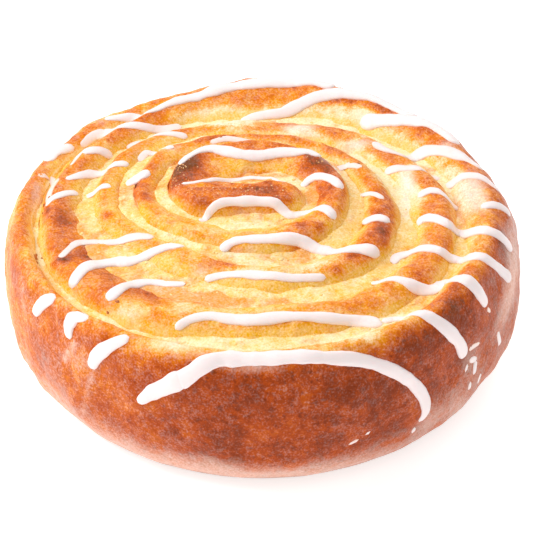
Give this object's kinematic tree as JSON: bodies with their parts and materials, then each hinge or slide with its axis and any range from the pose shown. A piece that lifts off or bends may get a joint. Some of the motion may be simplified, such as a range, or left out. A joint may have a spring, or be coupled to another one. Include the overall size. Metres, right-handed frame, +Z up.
{
  "type": "custard bun",
  "caption": "Round coiled sweet bun with custard let into the coil's valleys and white icing drizzled across its top; rests on a flat base.",
  "frame": {"origin": "centre of the flat base, where the bun rests", "axes": "+Z up out of the coiled top; -Y is the side with the long stripe of icing that runs down the wall"},
  "size_m": [0.1206, 0.1214, 0.041],
  "materials": {
    "dough": "baked sweet dough with a thin glaze",
    "icing": "set white sugar icing, soft sheen",
    "custard": "baked custard, moist sheen"
  },
  "bodies": {
    "root": {"bun": "dough", "custard": "custard"}
  },
  "joints": []
}
